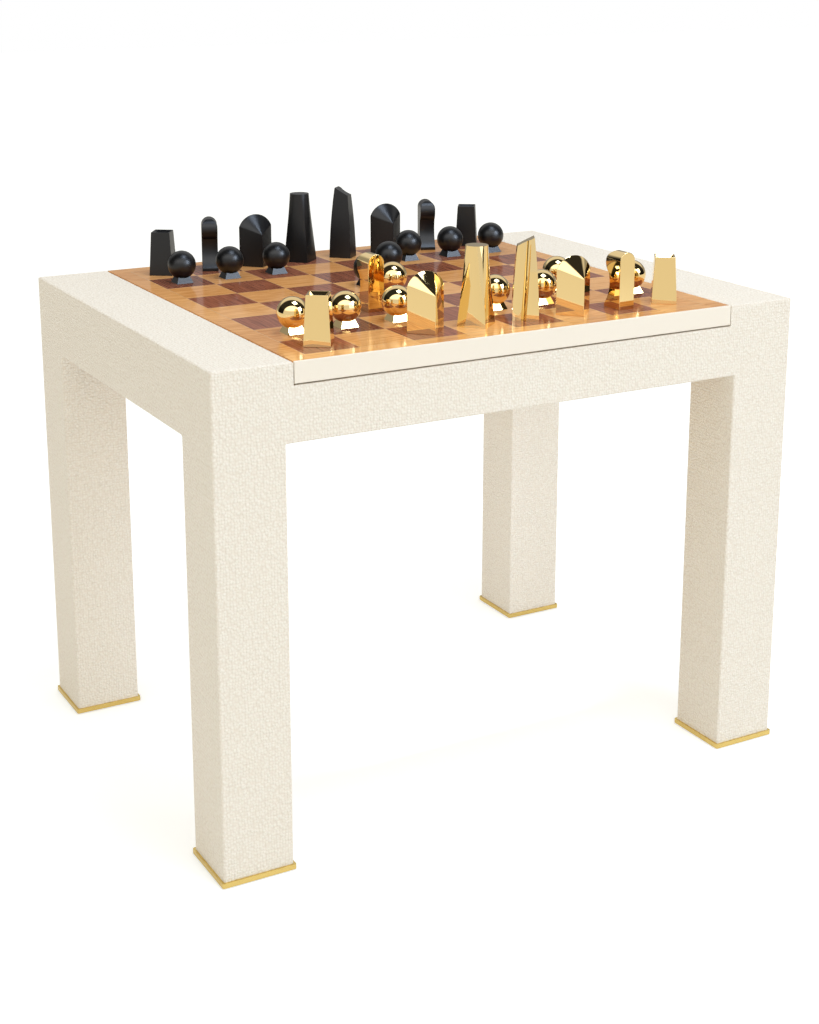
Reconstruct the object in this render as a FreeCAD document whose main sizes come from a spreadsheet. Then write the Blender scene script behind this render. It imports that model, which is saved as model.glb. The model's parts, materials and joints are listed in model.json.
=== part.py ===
import FreeCAD, Part
import math
import os
import re
import Sketcher
from FreeCAD import Placement, Rotation, Vector

# Chess table: a wrapped frame of four square legs, flush aprons and two broad borders.
# Between the borders a board panel slides forward off a storage well, and the chess set stands on it.
# Frame: origin on the floor under the middle of the table, X to the right, Y to the back, Z up, millimetres.

SIZES = {
    # Table frame
    "table_depth": 608,
    "table_height": 610,
    "leg_side": 88,
    "apron_depth": 92.5,
    "apron_thickness": 22,
    "top_thickness": 25,
    "border_width": 98,
    "edge_radius": 2.5,
    "shadow_gap": 1.8,
    # Feet
    "foot_thickness": 6,
    "foot_overhang": 2.7,
    "glide_diameter": 30,
    "glide_thickness": 2.5,
    "glide_recess": 1.5,
    "glide_clearance": 0.2,
    "screw_shank": 4.5,
    "screw_head": 9,
    "screw_head_depth": 2.4,
    "screw_length": 30,
    "screw_spread": 56,
    "screw_clearance": 0.15,
    # Dowelled joints
    "dowel_diameter": 10,
    "dowel_length": 40,
    "dowel_low": 24,
    "dowel_high": 52,
    "dowel_spread": 36,
    "dowel_top_depth": 14,
    "dowel_clearance": 0.1,
    "dowel_end_gap": 0.8,
    # Storage well
    "well_side_thickness": 22,
    "floor_thickness": 8,
    "floor_rise": 6.5,
    "groove_depth": 6,
    "groove_clearance": 0.2,
    "liner_thickness": 2,
    "liner_margin": 0.5,
    # Board panel and its slide
    "panel_gap": 1.25,
    "panel_bearing": 10.75,
    "band_thickness": 3,
    "band_radius": 0.8,
    "veneer_thickness": 3.5,
    "end_margin": 23,
    "side_margin": 24.75,
    "line_width": 0.8,
    "tongue_length": 160,
    "tongue_thickness": 8,
    "tongue_rise": 8.5,
    "tongue_root": 8,
    "tongue_reach": 10,
    "tongue_setback": 14,
    "slide_clearance": 0.5,
    # Pawn
    "pawn_ball": 38,
    "pawn_height": 43,
    "pawn_base": 23.5,
    "pawn_neck": 15.5,
    "pawn_plinth": 9.6,
    # Rook
    "rook_base": 32,
    "rook_top": 25.5,
    "rook_height": 59.5,
    "rook_rim": 1.2,
    "rook_hollow": 9,
    "rook_hollow_floor": 5,
    "rook_turn": 34,
    # Knight
    "knight_length": 33,
    "knight_thickness": 22,
    "knight_toe": 4,
    "knight_head_radius": 16,
    "knight_head_height": 57,
    "knight_crown_drop": 1,
    "knight_head_set": 15,
    "knight_chin": 44,
    "knight_scoop": 40,
    "gold_knight_turn": 90,
    "black_knight_turn": -111,
    # Bishop
    "bishop_side": 35,
    "bishop_ridge": 46,
    "bishop_arch": 26.5,
    "bishop_turn": 1,
    # Queen
    "queen_base": 36,
    "queen_crown": 27,
    "queen_height": 97,
    "gold_queen_turn": -50,
    "black_queen_turn": 133,
    # King
    "king_base": 32,
    "king_waist": 27.5,
    "king_waist_height": 55,
    "king_top": 19,
    "king_height": 101,
    "king_drop": 10,
    "king_scoop_radius": 12,
    "king_scoop_offset": 5,
    "king_scoop_lean": 4.5,
    "gold_king_turn": -30,
    "black_king_turn": 135,
}

# The squares fill the table's depth, the board and its borders make up the width, and the panel slides
# until its tongues meet the front ends of their grooves.
DERIVED = {
    "square_pitch": "(table_depth - 2 * band_thickness - 2 * end_margin) / 8",
    "panel_width": "8 * square_pitch + 2 * side_margin",
    "table_width": "panel_width + 2 * (panel_gap + border_width)",
    "well_half": "min(panel_width / 2 - panel_bearing; table_width / 2 - leg_side - well_side_thickness)",
    "slide_travel": "table_depth - 2 * tongue_setback - tongue_length",
}

doc = FreeCAD.newDocument("chess_table")
sheet = doc.addObject("Spreadsheet::Sheet", "Sizes")
contents = {alias: str(number) for alias, number in SIZES.items()}
contents.update({alias: f"={formula}" for alias, formula in DERIVED.items()})
for row, (alias, content) in enumerate(contents.items(), 1):
    sheet.set(f"A{row}", alias)
    sheet.set(f"B{row}", content)
    sheet.setAlias(f"B{row}", alias)
    doc.recompute()

nodes = {}


def size(alias):
    return float(sheet.get(alias))


def cells(expression):
    # Writes each size's name as its cell in the sheet.
    return re.sub("[a-z_]+", lambda word: f"Sizes.{word[0]}" if word[0] in contents else word[0], expression)


def bind(thing, **sizes):
    for name, expression in sizes.items():
        thing.setExpression(name, cells(expression))


def place(thing, at):
    for axis, expression in zip("xyz", at):
        thing.setExpression(f"Placement.Base.{axis}", cells(expression))


def node(label, thing):
    # A finished piece: its label names its file.
    thing.Label = label
    nodes[label] = thing
    return thing


def block(name, lengths, at):
    box = doc.addObject("Part::Box", name)
    bind(box, Length=lengths[0], Width=lengths[1], Height=lengths[2])
    place(box, at)
    return box


AXIS_TURNS = {
    "x": Rotation(Vector(0, 1, 0), 90),
    "y": Rotation(Vector(1, 0, 0), -90),
    "z": Rotation(),
}


def rod(name, radius, length, axis, at):
    # A cylinder that starts at a point and runs along one axis.
    cylinder = doc.addObject("Part::Cylinder", name)
    cylinder.Placement = Placement(Vector(), AXIS_TURNS[axis])
    bind(cylinder, Radius=radius, Height=length)
    place(cylinder, at)
    return cylinder


def cone(name, radius_start, radius_end, length, axis, at):
    taper = doc.addObject("Part::Cone", name)
    taper.Placement = Placement(Vector(), AXIS_TURNS[axis])
    bind(taper, Radius1=radius_start, Radius2=radius_end, Height=length)
    place(taper, at)
    return taper


def frustum(name, base, top, length, level="0"):
    # A square block that tapers upwards from one width to another.
    wedge = doc.addObject("Part::Wedge", name)
    wedge.Placement = Placement(Vector(), Rotation(Vector(1, 0, 0), 90))
    bind(wedge, Xmin=f"-({base}) / 2", Xmax=f"({base}) / 2", Zmin=f"-({base}) / 2", Zmax=f"({base}) / 2")
    bind(wedge, X2min=f"-({top}) / 2", X2max=f"({top}) / 2", Z2min=f"-({top}) / 2", Z2max=f"({top}) / 2")
    bind(wedge, Ymin="0", Ymax=length)
    place(wedge, ("0", "0", level))
    return wedge


def group(name, things):
    bundle = doc.addObject("Part::Compound", name)
    bundle.Links = things
    return bundle


def fuse(name, things):
    joined = doc.addObject("Part::MultiFuse", name)
    joined.Shapes = things
    joined.Refine = True
    return joined


def cut(name, base, tools):
    carved = doc.addObject("Part::Cut", name)
    carved.Base = base
    carved.Tool = group(f"{name}_tools", tools)
    return carved


def common(name, first, second):
    shared = doc.addObject("Part::Common", name)
    shared.Base = first
    shared.Tool = second
    return shared


def mirrored(name, source, normal):
    copy = doc.addObject("Part::Mirroring", name)
    copy.Source = source
    copy.Normal = normal
    return copy


LEFT_RIGHT = Vector(1, 0, 0)
FRONT_BACK = Vector(0, 1, 0)


def rounded(name, base, radius, chosen):
    # Rounds the edges of a block that the test picks out.
    doc.recompute()
    soft = doc.addObject("Part::Fillet", name)
    soft.Base = base
    picked = [number for number, edge in enumerate(base.Shape.Edges, 1) if chosen(edge, base.Shape.BoundBox)]
    soft.Edges = [(number, size(radius), size(radius)) for number in picked]
    return soft


def upright(edge, box):
    return edge.BoundBox.ZLength > max(edge.BoundBox.XLength, edge.BoundBox.YLength)


def outer_corner(edge, box):
    return upright(edge, box) and edge.BoundBox.XMax < box.Center.x and edge.BoundBox.YMax < box.Center.y


def low_and_long(edge, box):
    longest = max(edge.BoundBox.XLength, edge.BoundBox.YLength)
    return edge.BoundBox.ZMax < box.Center.z and longest > 0.9 * max(box.XLength, box.YLength)


def border_edge(edge, box):
    top = edge.BoundBox.ZMin > box.Center.z
    return top or (upright(edge, box) and edge.BoundBox.XMax < box.Center.x)


def band_edge(edge, box):
    along = edge.BoundBox.XLength > 0.9 * box.XLength
    return along and edge.BoundBox.YMax < box.Center.y


# Shared places, as expressions of the sizes: the front left corner is built and the rest is mirrored.
LEFT = "-table_width / 2"
FRONT = "-table_depth / 2"
APRON_LINE = "table_height - apron_depth"
TOP_LINE = "table_height - top_thickness"
FOOT_LINE = "glide_thickness - glide_recess"
LEG_LINE = f"{FOOT_LINE} + foot_thickness"
JOINT_X = f"{LEFT} + leg_side"
JOINT_Y = f"{FRONT} + leg_side"
LEG_X = f"{LEFT} + leg_side / 2"
TOP_PEG_X = f"{LEFT} + min(leg_side; border_width) / 2"
LEG_Y = f"{FRONT} + leg_side / 2"
WELL_LENGTH = "(table_depth - 2 * apron_thickness)"
FLOOR_LINE = f"{APRON_LINE} + floor_rise"
PANEL_HALF = "(panel_width / 2)"
PANEL_LENGTH = "(table_depth - 2 * band_thickness)"
FIELD_HALF = "(4 * square_pitch + line_width / 2)"
VENEER_LINE = "table_height - veneer_thickness"
TONGUE_LINE = f"{TOP_LINE} + tongue_rise"


# Dowels: two in each end of every apron and two from each leg up into its border.
def peg_places():
    half = "dowel_length / 2"
    for rise in ("dowel_low", "dowel_high"):
        level = f"{APRON_LINE} + {rise}"
        yield "x", (f"{JOINT_X} - {half}", f"{FRONT} + apron_thickness / 2", level)
        yield "y", (f"{LEFT} + apron_thickness / 2", f"{JOINT_Y} - {half}", level)
    for side in "-+":
        spread = f"{LEG_Y} {side} dowel_spread / 2"
        yield "z", (TOP_PEG_X, spread, f"{TOP_LINE} + dowel_top_depth - dowel_length")


pegs = []
peg_holes = {"x": [], "y": [], "z": []}
for axis, start in peg_places():
    pegs.append(rod("peg", "dowel_diameter / 2", "dowel_length", axis, start))
    early = [f"{at} - dowel_end_gap" if axis == name else at for name, at in zip("xyz", start)]
    loose, deep = "dowel_diameter / 2 + dowel_clearance", "dowel_length + 2 * dowel_end_gap"
    peg_holes[axis].append(rod("peg_hole", loose, deep, axis, early))


def four_corners(name, source):
    # The front left piece and its three mirror images.
    front_right = mirrored(f"{name}_front_right", source, LEFT_RIGHT)
    back_left = mirrored(f"{name}_back_left", source, FRONT_BACK)
    back_right = mirrored(f"{name}_back_right", front_right, FRONT_BACK)
    return {
        "front_left": source,
        "front_right": front_right,
        "back_left": back_left,
        "back_right": back_right,
    }


node("dowels", group("dowels", list(four_corners("pegs", group("pegs", pegs)).values())))

# Foot screws: countersunk up through the brass plate into the leg.
screws = []
screw_holes = []
countersinks = []
for side in "-+":
    screw_x = f"{LEG_X} {side} screw_spread / 2"
    at_plate = (screw_x, LEG_Y, FOOT_LINE)
    head = cone("screw_head", "screw_head / 2", "screw_shank / 2", "screw_head_depth", "z", at_plate)
    shank = rod("screw_shank", "screw_shank / 2", "screw_length", "z", at_plate)
    screws.append(fuse("screw", [head, shank]))
    loose = "screw_shank / 2 + screw_clearance"
    screw_holes.append(rod("screw_hole", loose, "screw_length + screw_clearance", "z", at_plate))
    countersinks.append(
        cone("countersink", "screw_head / 2 + screw_clearance", loose, "screw_head_depth", "z", at_plate)
    )
node("foot_screws", group("foot_screws", list(four_corners("screws", group("screws", screws)).values())))

# Foot plate: brass, a little wider than the leg, with a felt glide let into its underside.
plate_side = "leg_side + 2 * foot_overhang"
plate_at = (f"{LEFT} - foot_overhang", f"{FRONT} - foot_overhang", FOOT_LINE)
plate_blank = block("plate_blank", (plate_side, plate_side, "foot_thickness"), plate_at)
plate_soft = rounded("plate_soft", plate_blank, "edge_radius", upright)
under_leg = (LEG_X, LEG_Y, FOOT_LINE)
plate_holes = [rod("glide_hole", "glide_diameter / 2 + glide_clearance", "glide_recess", "z", under_leg)]
plate_holes += [fuse("sunk_hole", pair) for pair in zip(screw_holes, countersinks)]
plate = cut("foot_plate", plate_soft, plate_holes)
for corner, copy in four_corners("foot_plate", plate).items():
    node(f"{corner}_foot_plate", copy)
glide = rod("glide", "glide_diameter / 2", "glide_thickness", "z", (LEG_X, LEG_Y, "0"))
node("foot_glides", group("foot_glides", list(four_corners("glide", glide).values())))

# Leg: all four edges are soft below the aprons, and only the outer edge beside them.
apron_height = "apron_depth - top_thickness"
leg_run = f"{APRON_LINE} - ({LEG_LINE})"
leg_low = block("leg_low", ("leg_side", "leg_side", leg_run), (LEFT, FRONT, LEG_LINE))
leg_high = block("leg_high", ("leg_side", "leg_side", apron_height), (LEFT, FRONT, APRON_LINE))
leg_blank = fuse("leg_blank", [
    rounded("leg_low_soft", leg_low, "edge_radius", upright),
    rounded("leg_high_soft", leg_high, "edge_radius", outer_corner),
])
leg = cut("leg", leg_blank, peg_holes["x"] + peg_holes["y"] + peg_holes["z"] + screw_holes)
for corner, copy in four_corners("leg", leg).items():
    node(f"{corner}_leg", copy)

# Front and back aprons: a shallow rebate along the top leaves the shadow gap under the board panel.
front_blank = block(
    "front_blank",
    ("table_width - 2 * leg_side", "apron_thickness", apron_height),
    (JOINT_X, FRONT, APRON_LINE),
)
rebate = block(
    "rebate",
    ("table_width - 2 * border_width", "apron_thickness", "shadow_gap"),
    (f"{LEFT} + border_width", FRONT, f"{TOP_LINE} - shadow_gap"),
)
floor_slot_height = "floor_thickness + 2 * groove_clearance"
floor_slot_line = f"{FLOOR_LINE} - groove_clearance"
front_slot = block(
    "front_slot",
    ("2 * (well_half + groove_depth)", "groove_depth", floor_slot_height),
    ("-(well_half + groove_depth)", f"{FRONT} + apron_thickness - groove_depth", floor_slot_line),
)
end_holes = group("front_end_holes", peg_holes["x"])
front_tools = [rebate, front_slot, end_holes, mirrored("front_end_holes_right", end_holes, LEFT_RIGHT)]
front_soft = rounded("front_soft", front_blank, "edge_radius", low_and_long)
front_apron = cut("front_apron", front_soft, front_tools)
node("front_apron", front_apron)
node("back_apron", mirrored("back_apron", front_apron, FRONT_BACK))

# Side aprons.
side_blank = block(
    "side_blank",
    ("apron_thickness", "table_depth - 2 * leg_side", apron_height),
    (LEFT, JOINT_Y, APRON_LINE),
)
end_holes = group("side_end_holes", peg_holes["y"])
side_tools = [end_holes, mirrored("side_end_holes_back", end_holes, FRONT_BACK)]
left_apron = cut("left_apron", rounded("side_soft", side_blank, "edge_radius", low_and_long), side_tools)
node("left_apron", left_apron)
node("right_apron", mirrored("right_apron", left_apron, LEFT_RIGHT))

# Borders: each has a stopped groove along its inner edge, in which a tongue of the panel runs.
border = block("border_blank", ("border_width", "table_depth", "top_thickness"), (LEFT, FRONT, TOP_LINE))
groove_reach = "(tongue_reach - panel_gap + slide_clearance)"
groove_run = "tongue_length + slide_travel + 2 * slide_clearance"
tongue_front = "table_depth / 2 - tongue_setback - tongue_length"
slide_groove = block(
    "slide_groove",
    (groove_reach, groove_run, "tongue_thickness + 2 * slide_clearance"),
    (
        f"{LEFT} + border_width - {groove_reach}",
        f"{tongue_front} - slide_travel - slide_clearance",
        f"{TONGUE_LINE} - slide_clearance",
    ),
)
top_holes = group("top_holes", peg_holes["z"])
border_tools = [slide_groove, top_holes, mirrored("top_holes_back", top_holes, FRONT_BACK)]
left_border = cut("left_border", rounded("border_soft", border, "edge_radius", border_edge), border_tools)
node("left_border", left_border)
node("right_border", mirrored("right_border", left_border, LEFT_RIGHT))

# Storage well: two sides that carry the panel, a floor held in grooves all round, and a felt liner.
side = block(
    "well_side_blank",
    ("well_side_thickness", WELL_LENGTH, apron_height),
    ("-(well_half + well_side_thickness)", f"{FRONT} + apron_thickness", APRON_LINE),
)
side_slot = block(
    "side_slot",
    ("groove_depth", WELL_LENGTH, floor_slot_height),
    ("-(well_half + groove_depth)", f"{FRONT} + apron_thickness", floor_slot_line),
)
left_well_side = cut("left_well_side", side, [side_slot])
node("left_well_side", left_well_side)
node("right_well_side", mirrored("right_well_side", left_well_side, LEFT_RIGHT))
held = "(groove_depth - groove_clearance)"
node("well_floor", block(
    "well_floor",
    (f"2 * (well_half + {held})", f"{WELL_LENGTH} + 2 * {held}", "floor_thickness"),
    (f"-(well_half + {held})", f"-({WELL_LENGTH} / 2 + {held})", FLOOR_LINE),
))
node("well_liner", block(
    "well_liner",
    ("2 * (well_half - liner_margin)", f"{WELL_LENGTH} - 2 * liner_margin", "liner_thickness"),
    ("liner_margin - well_half", f"liner_margin - {WELL_LENGTH} / 2", f"{FLOOR_LINE} + floor_thickness"),
))

# Board panel: a core with a key slot in each side edge, a tongue glued into each, and pale edge bands.
core = block(
    "core_blank",
    ("panel_width", PANEL_LENGTH, "top_thickness - veneer_thickness"),
    (f"-{PANEL_HALF}", f"{FRONT} + band_thickness", TOP_LINE),
)
key_slot = block(
    "key_slot",
    ("tongue_root", "tongue_length", "tongue_thickness"),
    (f"-{PANEL_HALF}", tongue_front, TONGUE_LINE),
)
node("board_core", cut("board_core", core, [key_slot, mirrored("key_slot_right", key_slot, LEFT_RIGHT)]))
tongue = block(
    "tongue",
    ("tongue_root + tongue_reach", "tongue_length", "tongue_thickness"),
    (f"-{PANEL_HALF} - tongue_reach", tongue_front, TONGUE_LINE),
)
node("slide_tongues", group("slide_tongues", [tongue, mirrored("tongue_right", tongue, LEFT_RIGHT)]))
band_size = ("panel_width", "band_thickness", "top_thickness")
band_blank = block("band_blank", band_size, (f"-{PANEL_HALF}", FRONT, TOP_LINE))
band = rounded("band", band_blank, "band_radius", band_edge)
node("edge_bands", group("edge_bands", [band, mirrored("band_back", band, FRONT_BACK)]))

# Playing field: light border strips, then tiles let into a lattice of thin pale lines.
side_strip = block(
    "side_strip",
    (f"{PANEL_HALF} - {FIELD_HALF}", PANEL_LENGTH, "veneer_thickness"),
    (f"-{PANEL_HALF}", f"-{PANEL_LENGTH} / 2", VENEER_LINE),
)
end_strip = block(
    "end_strip",
    (f"2 * {FIELD_HALF}", f"{PANEL_LENGTH} / 2 - {FIELD_HALF}", "veneer_thickness"),
    (f"-{FIELD_HALF}", f"-{PANEL_LENGTH} / 2", VENEER_LINE),
)
strips = [side_strip, mirrored("side_strip_right", side_strip, LEFT_RIGHT)]
strips += [end_strip, mirrored("end_strip_back", end_strip, FRONT_BACK)]
node("board_border", group("board_border", strips))

FILES = "abcdefgh"
field_edge = f"-{FIELD_HALF}"
field_side = f"2 * {FIELD_HALF}"
lines = []
for step in range(len(FILES) + 1):
    offset = f"{step - 4} * square_pitch - line_width / 2"
    upward = ("line_width", field_side, "veneer_thickness")
    across = (field_side, "line_width", "veneer_thickness")
    lines.append(block("line", upward, (offset, field_edge, VENEER_LINE)))
    lines.append(block("line", across, (field_edge, offset, VENEER_LINE)))
node("inlay_lines", fuse("inlay_lines", lines))

tile_side = "square_pitch - line_width"
tile_size = (tile_side, tile_side, "veneer_thickness")
tiles = {"dark": [], "light": []}
for column in range(len(FILES)):
    for rank in range(len(FILES)):
        shade = "dark" if (column + rank) % 2 == 0 else "light"
        corner = [f"{step - 4} * square_pitch + line_width / 2" for step in (column, rank)]
        tiles[shade].append(block("tile", tile_size, (*corner, VENEER_LINE)))
for shade, pieces in tiles.items():
    node(f"{shade}_squares", group(f"{shade}_squares", pieces))


# Chess forms, each modelled once, standing on the origin and facing the front.
def sketch_on(body, name, role, level):
    sketch = body.newObject("Sketcher::SketchObject", name)
    plane = next(part for part in body.Origin.OriginFeatures if part.Role == role)
    sketch.AttachmentSupport = [(plane, "")]
    sketch.MapMode = "FlatFace"
    sketch.setExpression("AttachmentOffset.Base.z", cells(level))
    return sketch


def datum(sketch, expression, *constraint):
    # A sketch dimension that follows the sheet.
    number = sketch.addConstraint(Sketcher.Constraint(*constraint))
    sketch.setExpression(f"Constraints[{number}]", cells(expression))


def join_ends(sketch, ways):
    # Joins a closed chain of edges, each drawn along the chain (+) or against it (-).
    ends = [(1, 2) if way == "+" else (2, 1) for way in ways]
    for edge in range(len(ends)):
        after = (edge + 1) % len(ends)
        sketch.addConstraint(Sketcher.Constraint("Coincident", edge, ends[edge][1], after, ends[after][0]))


def arc(centre, start, end):
    # The arc that runs anticlockwise about a centre from one point to another.
    spokes = [point - centre for point in (start, end)]
    first, last = [math.atan2(spoke.y, spoke.x) for spoke in spokes]
    if last < first:
        last += 2 * math.pi
    return Part.ArcOfCircle(Part.Circle(centre, Vector(0, 0, 1), spokes[0].Length), first, last)


def centred_square(body, name, side, level):
    sketch = sketch_on(body, name, "XY_Plane", level)
    corners = [Vector(-1, -1, 0), Vector(1, -1, 0), Vector(1, 1, 0), Vector(-1, 1, 0)]
    for edge in range(4):
        sketch.addGeometry(Part.LineSegment(corners[edge] * 10, corners[(edge + 1) % 4] * 10))
    join_ends(sketch, "++++")
    for edge, way in enumerate(("Horizontal", "Vertical", "Horizontal", "Vertical")):
        sketch.addConstraint(Sketcher.Constraint(way, edge))
    sketch.addConstraint(Sketcher.Constraint("Symmetric", 0, 1, 1, 2, -1, 1))
    sketch.addConstraint(Sketcher.Constraint("Equal", 0, 1))
    datum(sketch, side, "Distance", 0, 20)
    return sketch


def quartered_circle(body, name, diameter, level):
    # A circle drawn as four arcs, one over each side of a square.
    sketch = sketch_on(body, name, "XY_Plane", level)
    half = size(diameter) / math.sqrt(8)
    near = [Vector(), Vector(-half, -half, 0), Vector(half, -half, 0)]
    for edge in range(4):
        spin = Rotation(Vector(0, 0, 1), 90 * edge)
        sketch.addGeometry(arc(*[spin.multVec(point) for point in near]))
    join_ends(sketch, "++++")
    for edge in range(2):
        sketch.addConstraint(Sketcher.Constraint("Symmetric", edge, 1, edge + 2, 1, -1, 1))
    for edge in range(1, 4):
        sketch.addConstraint(Sketcher.Constraint("Equal", 0, edge))
    sketch.addConstraint(Sketcher.Constraint("Horizontal", 0, 1, 0, 2))
    sketch.addConstraint(Sketcher.Constraint("Vertical", 1, 1, 1, 2))
    side = f"{diameter} / sqrt(2)"
    datum(sketch, side, "DistanceX", 0, 1, 0, 2, 2 * half)
    datum(sketch, side, "DistanceY", 1, 1, 1, 2, 2 * half)
    datum(sketch, f"{diameter} / 2", "Radius", 0, size(diameter) / 2)
    return sketch


def loft(body, name, sections, ruled):
    skin = body.newObject("PartDesign::AdditiveLoft", name)
    skin.Profile = sections[0]
    skin.Sections = sections[1:]
    skin.Ruled = ruled
    return skin


# Pawn: a ball sunk into a small flared square plinth.
def pawn_form():
    ball = doc.addObject("Part::Sphere", "pawn_ball")
    bind(ball, Radius="pawn_ball / 2")
    place(ball, ("0", "0", "pawn_height - pawn_ball / 2"))
    return fuse("pawn", [ball, frustum("pawn_plinth", "pawn_base", "pawn_neck", "pawn_plinth")])


# Rook: a tapered square tower with a pyramid hollow in its top.
def rook_form():
    tower = frustum("rook_tower", "rook_base", "rook_top", "rook_height")
    mouth = "rook_top - 2 * rook_rim"
    hollow = frustum("rook_hollow", "rook_hollow_floor", mouth, "rook_hollow", "rook_height - rook_hollow")
    return cut("rook", tower, [hollow])


# Bishop: a square prism on its corner, its top cut by two cones that meet in an arch across the middle.
def bishop_form():
    reach = "(bishop_side / sqrt(2))"
    prisms = []
    for name, height in (("bishop_low", "bishop_ridge"), ("bishop_tall", "bishop_ridge + bishop_arch")):
        prism = doc.addObject("Part::Prism", name)
        prism.Polygon = 4
        bind(prism, Circumradius=reach, Height=height)
        prisms.append(prism)
    front = cone("bishop_front", "0", "bishop_arch", reach, "y", ("0", f"-{reach}", "bishop_ridge"))
    back = cone("bishop_back", "bishop_arch", "0", reach, "y", ("0", "0", "bishop_ridge"))
    crown = common("bishop_crown", prisms[1], fuse("bishop_cones", [front, back]))
    return fuse("bishop", [prisms[0], crown])


# Queen: a tall taper that goes from a square foot to a round crown.
def queen_form():
    body = doc.addObject("PartDesign::Body", "queen")
    foot = centred_square(body, "queen_foot", "queen_base", "0")
    crown = quartered_circle(body, "queen_ring", "queen_crown", "queen_height")
    loft(body, "queen_taper", [foot, crown], True)
    return body


# King: the tallest, a square tower that swells as it comes down, with a slanted top and a hollowed edge.
def king_form():
    body = doc.addObject("PartDesign::Body", "king")
    foot = centred_square(body, "king_foot", "king_base", "0")
    waist = centred_square(body, "king_waist", "king_waist", "king_waist_height")
    crown = centred_square(body, "king_crown", "king_top", "king_height")
    loft(body, "king_tower", [foot, waist, crown], False)
    doc.recompute()
    slant = sketch_on(body, "king_slant", "XZ_Plane", "0")
    low, high, wide = size("king_height") - size("king_drop"), size("king_height"), size("king_base")
    peak = size("king_top") / 2
    points = [Vector(-peak, low, 0), Vector(peak, high, 0), Vector(peak, high + wide, 0)]
    points += [Vector(-wide, high + wide, 0), Vector(-wide, low, 0)]
    for edge in range(5):
        slant.addGeometry(Part.LineSegment(points[edge], points[(edge + 1) % 5]))
    join_ends(slant, "+++++")
    brow, peak_level, clear = "king_height - king_drop", "king_height", "king_height + king_base"
    levels = (brow, peak_level, clear, clear, brow)
    sides = ("-king_top / 2", "king_top / 2", "king_top / 2", "-king_base", "-king_base")
    for edge in range(5):
        datum(slant, sides[edge], "DistanceX", -1, 1, edge, 1, points[edge].x)
        datum(slant, levels[edge], "DistanceY", -1, 1, edge, 1, points[edge].y)
    peel = body.newObject("PartDesign::Pocket", "king_peel")
    peel.Profile = slant
    peel.Type = "ThroughAll"
    peel.SideType = "Symmetric"
    doc.recompute()
    scoop = body.newObject("PartDesign::SubtractiveCylinder", "king_scoop")
    bind(scoop, Radius="king_scoop_radius", Height="king_height * 1.2")
    scoop.Placement = Placement(Vector(), Rotation(Vector(-1, 1, 0), size("king_scoop_lean")))
    beside = "-king_base / 2 + king_scoop_offset"
    before = "-king_base / 2 - king_scoop_radius / 2"
    place(scoop, (beside, before, "-king_height * 0.1"))
    return body


# Knight: a slab with a round head, a scooped chest and a toe, arched over the top from cheek to cheek.
def knight_form():
    body = doc.addObject("PartDesign::Body", "knight_slab")
    sketch = sketch_on(body, "knight_profile", "XZ_Plane", "0")
    sketch.setExpression("AttachmentOffset.Base.x", cells("-knight_length / 2"))
    radius, scoop = size("knight_head_radius"), size("knight_scoop")
    centre = Vector(size("knight_head_set"), size("knight_head_height"), 0)
    heel, ball = Vector(0, 0, 0), Vector(size("knight_length"), 0, 0)
    tip = ball + Vector(0, size("knight_toe"), 0)
    chin = size("knight_chin")
    throat = Vector(centre.x + math.sqrt(radius ** 2 - (centre.y - chin) ** 2), chin, 0)
    crest = centre + Vector(0, radius, 0)
    nape = Vector(0, crest.y, 0)
    chord = throat - tip
    outward = Vector(chord.y, -chord.x, 0).normalize()
    hub = (tip + throat) / 2 + outward * math.sqrt(scoop ** 2 - chord.Length ** 2 / 4)
    sketch.addGeometry(Part.LineSegment(heel, ball))
    sketch.addGeometry(Part.LineSegment(ball, tip))
    sketch.addGeometry(arc(hub, throat, tip))
    sketch.addGeometry(arc(centre, throat, crest))
    sketch.addGeometry(Part.LineSegment(crest, nape))
    sketch.addGeometry(Part.LineSegment(nape, heel))
    join_ends(sketch, "++-+++")
    sketch.addConstraint(Sketcher.Constraint("Coincident", 0, 1, -1, 1))
    sketch.addConstraint(Sketcher.Constraint("Horizontal", 0))
    sketch.addConstraint(Sketcher.Constraint("Vertical", 1))
    sketch.addConstraint(Sketcher.Constraint("Vertical", 3, 3, 3, 2))
    sketch.addConstraint(Sketcher.Constraint("Horizontal", 4))
    sketch.addConstraint(Sketcher.Constraint("Vertical", 5))
    datum(sketch, "knight_length", "Distance", 0, ball.x)
    datum(sketch, "knight_toe", "Distance", 1, tip.y)
    datum(sketch, "knight_scoop", "Radius", 2, scoop)
    datum(sketch, "knight_head_radius", "Radius", 3, radius)
    datum(sketch, "knight_head_set", "DistanceX", -1, 1, 3, 3, centre.x)
    datum(sketch, "knight_head_height", "DistanceY", -1, 1, 3, 3, centre.y)
    datum(sketch, "knight_chin", "DistanceY", -1, 1, 3, 1, chin)
    slab = body.newObject("PartDesign::Pad", "knight_pad")
    slab.Profile = sketch
    slab.SideType = "Symmetric"
    bind(slab, Length="2 * knight_thickness")
    spring = "(knight_head_height + knight_head_radius - knight_crown_drop - knight_thickness / 2)"
    span = ("2 * knight_length", "knight_thickness", spring)
    cheeks = block("knight_cheeks", span, ("-knight_length", "-knight_thickness / 2", "0"))
    behind = ("-knight_length", "0", spring)
    crown = rod("knight_crown", "knight_thickness / 2", "2 * knight_length", "x", behind)
    return common("knight", body, fuse("knight_arch", [cheeks, crown]))


forms = {
    "pawn": pawn_form(),
    "rook": rook_form(),
    "knight": knight_form(),
    "bishop": bishop_form(),
    "queen": queen_form(),
    "king": king_form(),
}
doc.recompute()

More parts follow.
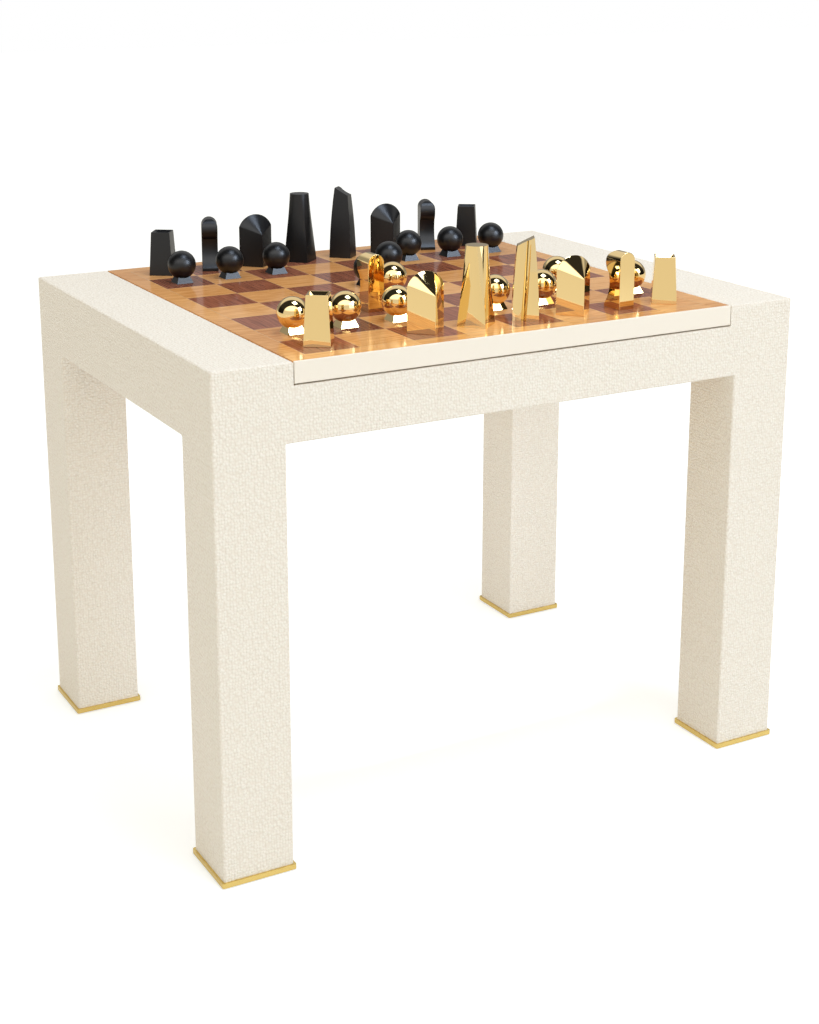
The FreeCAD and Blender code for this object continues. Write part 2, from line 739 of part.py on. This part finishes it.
# The set, on the squares of a game just begun.
SET = {
    "gold_rook_left": "a1", "gold_knight_left": "c3", "gold_bishop_left": "c1", "gold_queen": "d1",
    "gold_king": "e1", "gold_bishop_right": "f1", "gold_knight_right": "g1", "gold_rook_right": "h1",
    "gold_pawn_1": "a2", "gold_pawn_2": "b2", "gold_pawn_3": "c2", "gold_pawn_4": "d4",
    "gold_pawn_5": "e2", "gold_pawn_6": "f2", "gold_pawn_7": "g3", "gold_pawn_8": "h2",
    "black_rook_left": "a8", "black_knight_left": "b8", "black_bishop_left": "c8", "black_queen": "d8",
    "black_king": "e8", "black_bishop_right": "f8", "black_knight_right": "g8", "black_rook_right": "h8",
    "black_pawn_1": "a7", "black_pawn_2": "b7", "black_pawn_3": "c7", "black_pawn_4": "d5",
    "black_pawn_5": "e6", "black_pawn_6": "f7", "black_pawn_7": "g7", "black_pawn_8": "h7",
}


def turn_of(colour, kind):
    # How far a piece is turned on its square, anticlockwise from above.
    if kind == "pawn":
        return 0
    if kind in ("knight", "queen", "king"):
        return size(f"{colour}_{kind}_turn")
    half_turn = 180 if colour == "black" else 0
    return half_turn - size(f"{kind}_turn")


for label, square in SET.items():
    colour, kind = label.split("_")[:2]
    copy = doc.addObject("PartDesign::Body", label)
    copy.BaseFeature = forms[kind]
    copy.Placement = Placement(Vector(), Rotation(Vector(0, 0, 1), turn_of(colour, kind)))
    column, rank = FILES.index(square[0]), int(square[1]) - 1
    place(copy, (f"{column - 3.5} * square_pitch", f"{rank - 3.5} * square_pitch", "table_height"))
    node(label, copy)

doc.recompute()

failed = [thing.Label for thing in doc.Objects if {"Invalid", "Error"} & set(thing.State)]
failed += [label for label, thing in nodes.items() if thing.Shape.isNull() or not thing.Shape.isValid()]
if failed:
    raise RuntimeError(f"not built: {failed}")

os.makedirs("parts", exist_ok=True)
for label, thing in nodes.items():
    thing.Shape.exportStep(f"parts/{label}.step")
print(f"{len(nodes)} nodes written")
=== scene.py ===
import bpy
import json
import math
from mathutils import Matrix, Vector

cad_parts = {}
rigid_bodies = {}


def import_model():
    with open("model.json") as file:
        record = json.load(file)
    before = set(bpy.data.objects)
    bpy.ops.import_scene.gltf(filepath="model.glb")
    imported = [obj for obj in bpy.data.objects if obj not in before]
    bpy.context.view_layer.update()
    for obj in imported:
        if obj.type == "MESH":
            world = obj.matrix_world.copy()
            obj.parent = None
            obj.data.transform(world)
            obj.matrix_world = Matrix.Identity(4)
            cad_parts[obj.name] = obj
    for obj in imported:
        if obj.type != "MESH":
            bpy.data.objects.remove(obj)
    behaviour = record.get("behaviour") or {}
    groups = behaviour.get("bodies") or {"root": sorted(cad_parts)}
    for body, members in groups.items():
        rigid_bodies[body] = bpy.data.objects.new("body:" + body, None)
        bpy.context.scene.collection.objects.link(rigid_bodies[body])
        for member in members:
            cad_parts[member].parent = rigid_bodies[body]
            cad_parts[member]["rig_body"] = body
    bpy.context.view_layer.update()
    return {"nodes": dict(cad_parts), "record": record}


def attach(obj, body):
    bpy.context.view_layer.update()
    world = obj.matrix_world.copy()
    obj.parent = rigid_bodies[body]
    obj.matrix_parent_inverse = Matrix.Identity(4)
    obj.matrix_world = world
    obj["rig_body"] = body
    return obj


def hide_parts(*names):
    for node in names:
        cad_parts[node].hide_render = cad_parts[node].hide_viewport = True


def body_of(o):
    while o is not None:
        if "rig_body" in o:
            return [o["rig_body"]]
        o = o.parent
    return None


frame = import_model()
nodes = frame["nodes"]
bpy.ops.object.select_all(action="DESELECT")  # the loaded nodes come in selected
print("frame loaded:", len(nodes), "nodes")

millimetre = 0.001


def toLinear(hexColour):
    # sRGB hex to the linear colour that a shader socket takes
    channels = [int(hexColour[i:i + 2], 16) / 255 for i in (1, 3, 5)]
    return [c / 12.92 if c <= 0.04045 else ((c + 0.055) / 1.055) ** 2.4 for c in channels] + [1.0]


def addNode(tree, kind, links=None, **settings):
    # one node with its settings, and links given as input: socket
    node = tree.nodes.new(kind)
    for name, value in settings.items():
        if name in node.inputs:
            node.inputs[name].default_value = value
        else:
            setattr(node, name, value)
    for name, socket in (links or {}).items():
        tree.links.new(socket, node.inputs[name])
    return node


def newMaterial(name):
    material = bpy.data.materials.new(name)
    material.use_nodes = True
    material.node_tree.nodes.clear()
    return material, material.node_tree


def closeMaterial(tree, shader):
    addNode(tree, "ShaderNodeOutputMaterial", {"Surface": shader.outputs[0]})


# Embossed leather: cowhide pressed with a fine pebble grain and given a pale matt top coat.
# The eye sees cream with a tiny light and shade on every pebble, and almost no shine. The bump draws
# that light and shade, and the creases between the pebbles are also painted a little darker, which is
# painted shade.
# Real pebbles are about 2 mm and would blur away at this distance, so they are drawn a little coarser.
# The bands on the panel's edges are skived thin and rolled flat, so they hardly show the grain.
leather = {
    "colour": "#FCF7EC",
    # painted shade: the darker colour mixed into the creases between the pebbles
    "creaseShadeColour": "#F3EBDE",
    "pebble": 3.6 * millimetre,
    "unevenness": 0.58,
    "relief": 1.6 * millimetre,
    # where the painted crease shade starts and ends, along the distance from a pebble's middle
    "creaseShadeFrom": 0.3,
    "creaseShadeTo": 0.7,
    "grainStrength": 1.0,
    "bandColour": "#F8F1E4",
    "bandStrength": 0.06,
    "roughness": 0.58,
}


# strength sets both the bump and how much painted crease shade goes into the colour
def makeLeather(name, faceColour, strength):
    material, tree = newMaterial(name)
    place = addNode(tree, "ShaderNodeTexCoord")
    pebbles = addNode(tree, "ShaderNodeTexVoronoi", {"Vector": place.outputs["Object"]},
                      Scale=1 / leather["pebble"], Randomness=leather["unevenness"])
    # painted shade: the creases between the pebbles are mixed towards the darker crease shade colour
    creaseShade = addNode(tree, "ShaderNodeMapRange", {"Value": pebbles.outputs["Distance"]},
                     **{"From Min": leather["creaseShadeFrom"], "From Max": leather["creaseShadeTo"],
                        "To Max": strength})
    colour = addNode(tree, "ShaderNodeMix", {"Factor": creaseShade.outputs["Result"]}, data_type="RGBA")
    colour.inputs[6].default_value = toLinear(faceColour)
    colour.inputs[7].default_value = toLinear(leather["creaseShadeColour"])
    bump = addNode(tree, "ShaderNodeBump", {"Height": pebbles.outputs["Distance"]}, invert=True,
                   Strength=strength, Distance=leather["relief"])
    shader = addNode(tree, "ShaderNodeBsdfPrincipled",
                     {"Base Color": colour.outputs[2], "Normal": bump.outputs["Normal"]},
                     Roughness=leather["roughness"])
    closeMaterial(tree, shader)
    return material


# Veneer: thin sliced wood, sanded flat and sprayed with a clear lacquer.
# The eye sees fine long grain under a wet-looking skin; every square is cut from another place.
veneers = {
    "light": {"name": "lacqueredCherry", "pale": "#F9C07E", "deep": "#CB8849", "turned": False},
    "dark": {"name": "lacqueredWalnut", "pale": "#AC6B50", "deep": "#6E3D2C", "turned": True},
}
lacquer = {
    "square": 69.5 * millimetre,
    "grainWidth": 2.4 * millimetre,
    "grainLength": 45 * millimetre,
    "grainDetail": 4.0,
    "grainRoughness": 0.6,
    "grainWander": 0.4,
    "grainPale": 0.3,
    "grainDeep": 0.7,
    "lotSpread": 0.4,
    "roughness": 0.12,
    "specular": 0.16,
}


def makeVeneer(kind):
    settings = veneers[kind]
    material, tree = newMaterial(settings["name"])
    place = addNode(tree, "ShaderNodeTexCoord")
    # each square's own number, from its place on the board
    cell = addNode(tree, "ShaderNodeVectorMath", {0: place.outputs["Object"]}, operation="DIVIDE")
    cell.inputs[1].default_value = (lacquer["square"], lacquer["square"], 1.0)
    whole = addNode(tree, "ShaderNodeVectorMath", {0: cell.outputs["Vector"]}, operation="FLOOR")
    lot = addNode(tree, "ShaderNodeTexWhiteNoise", {"Vector": whole.outputs["Vector"]})
    moved = addNode(tree, "ShaderNodeVectorMath",
                    {0: place.outputs["Object"], 1: lot.outputs["Color"]}, operation="ADD")
    long, across = 1 / lacquer["grainLength"], 1 / lacquer["grainWidth"]
    stretch = (across, long, 1.0) if settings["turned"] else (long, across, 1.0)
    grainPlace = addNode(tree, "ShaderNodeMapping", {"Vector": moved.outputs["Vector"]}, Scale=stretch)
    grain = addNode(tree, "ShaderNodeTexNoise", {"Vector": grainPlace.outputs["Vector"]},
                    Scale=1.0, Detail=lacquer["grainDetail"], Roughness=lacquer["grainRoughness"],
                    Distortion=lacquer["grainWander"])
    lotShade = addNode(tree, "ShaderNodeMath", {0: lot.outputs["Value"]}, operation="MULTIPLY_ADD")
    lotShade.inputs[1].default_value = lacquer["lotSpread"]
    lotShade.inputs[2].default_value = -lacquer["lotSpread"] / 2
    figure = addNode(tree, "ShaderNodeMapRange", {"Value": grain.outputs["Fac"]},
                     **{"From Min": lacquer["grainPale"], "From Max": lacquer["grainDeep"]})
    tone = addNode(tree, "ShaderNodeMath", {0: figure.outputs["Result"], 1: lotShade.outputs["Value"]},
                   operation="ADD", use_clamp=True)
    colour = addNode(tree, "ShaderNodeMix", {"Factor": tone.outputs["Value"]}, data_type="RGBA")
    colour.inputs[6].default_value = toLinear(settings["pale"])
    colour.inputs[7].default_value = toLinear(settings["deep"])
    shader = addNode(tree, "ShaderNodeBsdfPrincipled", {"Base Color": colour.outputs[2]},
                     Roughness=lacquer["roughness"])
    shader.inputs["Specular IOR Level"].default_value = lacquer["specular"]
    closeMaterial(tree, shader)
    return material


# Plain finishes: one colour all over, told apart by shine.
plainFinishes = {
    # foot plates: buffed yellow metal with a blurred shine
    "polishedBrass": {"colour": "#E8CC7E", "metallic": 1.0, "roughness": 0.22},
    # gold plate on the pieces: a clear mirror, pale yellow
    "mirrorGold": {"colour": "#F8DA9C", "metallic": 1.0, "roughness": 0.03},
    # black paint on the pieces: deep, with soft wide highlights
    "satinBlack": {"colour": "#0B0B0C", "metallic": 0.0, "roughness": 0.34},
    # thin pale strips between the squares, under lacquer
    "paleSquareLine": {"colour": "#D9B283", "metallic": 0.0, "roughness": 0.25},
    # bare pinkish wood of the well sides, tongues and dowels
    "planedBeech": {"colour": "#D2AE86", "metallic": 0.0, "roughness": 0.5},
    # bare yellowish wood of the panel's core and the well floor
    "sandedBirchPly": {"colour": "#D8BC93", "metallic": 0.0, "roughness": 0.55},
    # charcoal wool with no shine, in the well and under the feet
    "pressedFelt": {"colour": "#4A4541", "metallic": 0.0, "roughness": 0.95},
    # dull grey metal of the foot screws
    "zincSteel": {"colour": "#B9BABC", "metallic": 1.0, "roughness": 0.35},
}


def makePlain(name):
    settings = plainFinishes[name]
    material, tree = newMaterial(name)
    shader = addNode(tree, "ShaderNodeBsdfPrincipled", Metallic=settings["metallic"],
                     Roughness=settings["roughness"])
    shader.inputs["Base Color"].default_value = toLinear(settings["colour"])
    closeMaterial(tree, shader)
    return material


slotFinish = {
    "embossed_leather": makeLeather("embossedLeather", leather["colour"], leather["grainStrength"]),
    "light_veneer": makeVeneer("light"),
    "dark_veneer": makeVeneer("dark"),
    "polished_brass": makePlain("polishedBrass"),
    "polished_gold": makePlain("mirrorGold"),
    "satin_black": makePlain("satinBlack"),
    "pale_inlay": makePlain("paleSquareLine"),
    "beech": makePlain("planedBeech"),
    "plywood": makePlain("sandedBirchPly"),
    "felt": makePlain("pressedFelt"),
    "steel": makePlain("zincSteel"),
}
for part in frame["record"]["subparts"]:
    mesh = nodes[part["node"]].data
    mesh.materials.clear()
    mesh.materials.append(slotFinish[part["material_slot"]])
rolled = makeLeather("rolledLeather", leather["bandColour"], leather["bandStrength"])
nodes["edge_bands"].data.materials[0] = rolled
print("finishes given")

# Polished edges: the chess pieces are tumbled after casting, so their edges are a little round and
# draw a thin line of light. The balls of the pawns have no edge to round, and the queens' curved
# sides shine best as they come from the frame, so both kinds stay as they are.
polish = {
    "slots": ("polished_gold", "satin_black"),
    "leftPlain": ("pawn", "queen"),
    "edgeWidth": 0.5 * millimetre,
    "segments": 2,
    "sharpFrom": math.radians(32),
    "flatWithin": math.radians(0.05),
    "mergeWithin": 0.01 * millimetre,
    "faceWeight": 100,
}


chessSet = bpy.data.collections.new("chessSet")  # what the softbox lights
chessParts = [part for part in frame["record"]["subparts"] if part["material_slot"] in polish["slots"]]
for part in chessParts:
    chessSet.objects.link(nodes[part["node"]])


def polishPiece(part):
    node = nodes[part["node"]]
    piece = bpy.data.objects.new(part["node"] + "Polished", node.data.copy())
    bpy.context.scene.collection.objects.link(piece)
    chessSet.objects.link(piece)
    bpy.ops.object.select_all(action="DESELECT")
    piece.select_set(True)
    bpy.context.view_layer.objects.active = piece
    bpy.ops.mesh.customdata_custom_splitnormals_clear()
    bpy.ops.object.mode_set(mode="EDIT")
    bpy.ops.mesh.select_all(action="SELECT")
    bpy.ops.mesh.remove_doubles(threshold=polish["mergeWithin"])
    bpy.ops.mesh.dissolve_limited(angle_limit=polish["flatWithin"])
    bpy.ops.object.mode_set(mode="OBJECT")
    rounding = piece.modifiers.new("rounding", "BEVEL")
    rounding.width = polish["edgeWidth"]
    rounding.segments = polish["segments"]
    rounding.limit_method = "ANGLE"
    rounding.angle_limit = polish["sharpFrom"]
    bpy.ops.object.modifier_apply(modifier="rounding")
    bpy.ops.object.shade_smooth()
    evening = piece.modifiers.new("evening", "WEIGHTED_NORMAL")
    evening.weight = polish["faceWeight"]
    bpy.ops.object.modifier_apply(modifier="evening")
    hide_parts(part["node"])
    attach(piece, body_of(node)[0])
    return len(piece.data.polygons)


def hasEdges(part):
    return not any(kind in part["node"] for kind in polish["leftPlain"])


faces = [polishPiece(part) for part in chessParts if hasEdges(part)]
print("pieces polished:", len(faces), "with", sum(faces), "faces")

# Studio: a white floor and a warm white surround with slightly cool lamps.
# Polished metal sees a wall, a front cloth and a gap instead of the surround.
studio = {
    "floorSize": 30,
    "floorColour": "#F4F4F2",
    "floorGlow": 0.44,
    "floorInMetal": 0.14,
    "glowColour": "#E7F3FF",
    "surround": 0.81,
    "surroundColour": "#FFF8EA",
    "backdrop": 1.0,
    "backdropColour": "#FFFFFF",
    "gapFacing": (-0.477, -0.872, -0.11),
    "wallLevel": 0.8,
    "frontLevel": 2.0,
    "lowLevel": 0.4,
    "gapLevel": 0.03,
    "wallEnd": 0.25,
    "gapStart": 0.29,
    "gapEnd": 0.69,
    "frontStart": 0.73,
    "lowBelow": 0.3,
    "highAbove": 0.45,
}


def addFloor():
    bpy.ops.mesh.primitive_plane_add(size=studio["floorSize"], location=(0, 0, 0))
    floor = bpy.context.object
    floor.name = "floor"
    material, tree = newMaterial("whitePaper")
    paper = addNode(tree, "ShaderNodeBsdfDiffuse")
    paper.inputs["Color"].default_value = toLinear(studio["floorColour"])
    # lifted to white where the camera sees it, so that only a soft shadow stays
    ray = addNode(tree, "ShaderNodeLightPath")
    inMetal = addNode(tree, "ShaderNodeMath", {0: ray.outputs["Is Glossy Ray"]}, operation="MULTIPLY")
    inMetal.inputs[1].default_value = studio["floorInMetal"]
    level = addNode(tree, "ShaderNodeMath",
                    {0: ray.outputs["Is Camera Ray"], 2: inMetal.outputs["Value"]},
                    operation="MULTIPLY_ADD")
    level.inputs[1].default_value = studio["floorGlow"]
    glow = addNode(tree, "ShaderNodeEmission", {"Strength": level.outputs["Value"]})
    glow.inputs["Color"].default_value = toLinear(studio["glowColour"])
    closeMaterial(tree, addNode(tree, "ShaderNodeAddShader", {0: paper.outputs[0], 1: glow.outputs[0]}))
    floor.data.materials.append(material)


# Lamps: a soft one over the table, a wide one low in front, a small one on the right for highlights,
# a softbox that only the chess pieces catch, and a weak one under the table for the back legs.
lampColour = "#D8E8FF"
lamps = {
    "key": {"place": (0.2, -0.6, 2.9), "aim": (0, 0, 0.5), "size": 1.0, "power": 23},
    "fill": {"place": (0.8, -3.0, 1.4), "aim": (0, 0, 0.5), "size": 2.0, "power": 15},
    "strip": {"place": (1.4, -2.5, 2.0), "aim": (0, 0, 0.5), "size": 0.6, "power": 4},
    "box": {"place": (1.42, -2.3, 1.95), "aim": (0, 0, 0.5), "size": 1.2, "power": 54},
    "under": {"place": (0.05, -0.12, 0.2), "aim": (0.05, 1.0, 0.2), "size": 0.35, "power": 0.6},
}


def addLamp(name):
    settings = lamps[name]
    data = bpy.data.lights.new(name, "AREA")
    data.size = settings["size"]
    data.energy = settings["power"]
    data.color = toLinear(lampColour)[:3]
    lamp = bpy.data.objects.new(name, data)
    bpy.context.scene.collection.objects.link(lamp)
    lamp.location = settings["place"]
    aim = Vector(settings["aim"]) - Vector(settings["place"])
    lamp.rotation_euler = aim.to_track_quat("-Z", "Y").to_euler()
    lamp.visible_camera = False
    return lamp


def addSurround():
    world = bpy.data.worlds.new("studio")
    bpy.context.scene.world = world
    world.use_nodes = True
    tree = world.node_tree
    tree.nodes.clear()
    ray = addNode(tree, "ShaderNodeLightPath")
    soft = addNode(tree, "ShaderNodeBackground", Strength=studio["surround"])
    soft.inputs["Color"].default_value = toLinear(studio["surroundColour"])
    # what polished metal sees: a white wall behind, a light cloth in front, a dark gap between them
    # that runs over the table from side to side, and both dimmer low down
    place = addNode(tree, "ShaderNodeTexCoord")
    facing = addNode(tree, "ShaderNodeVectorMath", {0: place.outputs["Generated"]},
                     operation="DOT_PRODUCT")
    facing.inputs[1].default_value = studio["gapFacing"]
    along = addNode(tree, "ShaderNodeMapRange", {"Value": facing.outputs["Value"]},
                    **{"From Min": -1.0, "From Max": 1.0})
    cloths = addNode(tree, "ShaderNodeValToRGB", {"Fac": along.outputs["Result"]})
    ramp = cloths.color_ramp
    ramp.elements.new(studio["gapStart"])
    ramp.elements.new(studio["gapEnd"])
    bounds = ("wallEnd", "gapStart", "gapEnd", "frontStart")
    levels = ("wallLevel", "gapLevel", "gapLevel", "frontLevel")
    for step, bound, level in zip(ramp.elements, bounds, levels):
        step.position = studio[bound]
        step.color = (studio[level],) * 3 + (1,)
    axes = addNode(tree, "ShaderNodeSeparateXYZ", {0: place.outputs["Generated"]})
    lift = addNode(tree, "ShaderNodeMapRange", {"Value": axes.outputs["Z"]},
                   **{"From Min": studio["lowBelow"], "From Max": studio["highAbove"],
                      "To Min": studio["lowLevel"]})
    seen = addNode(tree, "ShaderNodeBackground", {"Color": cloths.outputs["Color"],
                                                  "Strength": lift.outputs["Result"]})
    white = addNode(tree, "ShaderNodeBackground", Strength=studio["backdrop"])
    white.inputs["Color"].default_value = toLinear(studio["backdropColour"])
    inMetal = addNode(tree, "ShaderNodeMixShader", {0: ray.outputs["Is Glossy Ray"],
                                                     1: soft.outputs[0], 2: seen.outputs[0]})
    inView = addNode(tree, "ShaderNodeMixShader", {0: ray.outputs["Is Camera Ray"],
                                                    1: inMetal.outputs[0], 2: white.outputs[0]})
    addNode(tree, "ShaderNodeOutputWorld", {"Surface": inView.outputs[0]})


# Camera: where the photograph was taken from, some 30 degrees left of the front and a little above
# the table. The focal length and the shift are in pixels of a picture 1024 high.
lens = {
    "place": (-1.0609, -1.9256, 1.0505),
    "pitch": 13.731,
    "turn": -29.072,
    "focalPixels": 1690.5,
    "centreAbove": 154,
    "imageHeight": 1024,
    "sensorWidth": 36,
}


def addCamera():
    data = bpy.data.cameras.new("camera")
    data.sensor_width = lens["sensorWidth"]
    data.lens = lens["focalPixels"] / lens["imageHeight"] * data.sensor_width
    data.shift_y = -lens["centreAbove"] / lens["imageHeight"]
    camera = bpy.data.objects.new("camera", data)
    bpy.context.scene.collection.objects.link(camera)
    camera.location = lens["place"]
    camera.rotation_euler = (math.radians(90 - lens["pitch"]), 0, math.radians(lens["turn"]))
    bpy.context.scene.camera = camera


addFloor()
lampOf = {name: addLamp(name) for name in lamps}
lampOf["box"].light_linking.receiver_collection = chessSet
lampOf["under"].visible_glossy = False
addSurround()
addCamera()
bpy.context.scene.view_settings.view_transform = "Standard"
print("studio ready")
